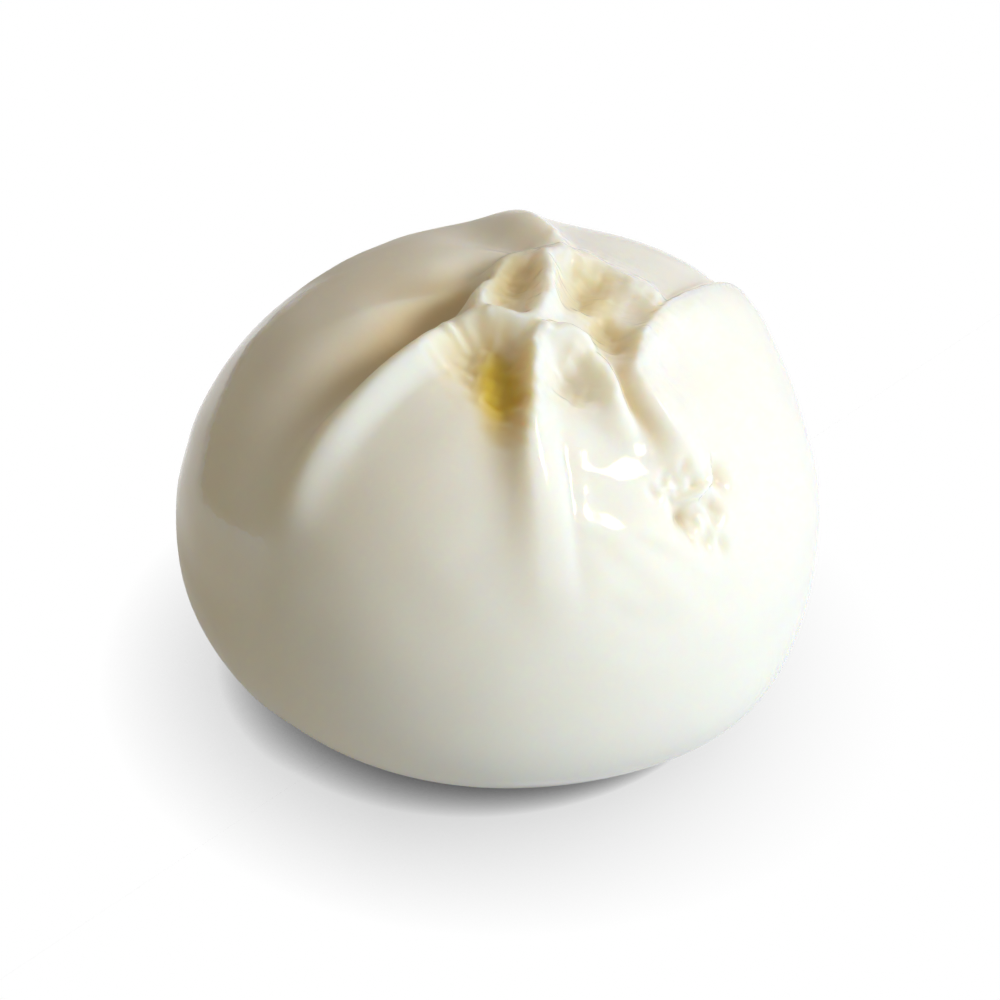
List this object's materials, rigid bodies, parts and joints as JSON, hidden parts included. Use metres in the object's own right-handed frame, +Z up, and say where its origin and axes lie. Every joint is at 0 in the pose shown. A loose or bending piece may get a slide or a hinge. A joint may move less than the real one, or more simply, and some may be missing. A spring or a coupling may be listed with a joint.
{
  "type": "burrata",
  "caption": "Plump ball of soft white fresh cheese with a pleated, pinched-shut closure on top and a flat sole to rest on.",
  "frame": {"origin": "middle of the flat sole, on the surface that the cheese rests on", "axes": "+Z up through the crown, -Y towards the side that the front fold runs down, +X to the right of it"},
  "size_m": [0.0925, 0.0841, 0.0706],
  "materials": {
    "curd": "moist, soft gloss, slightly translucent"
  },
  "bodies": {
    "root": {"burrata": "curd"}
  },
  "joints": []
}
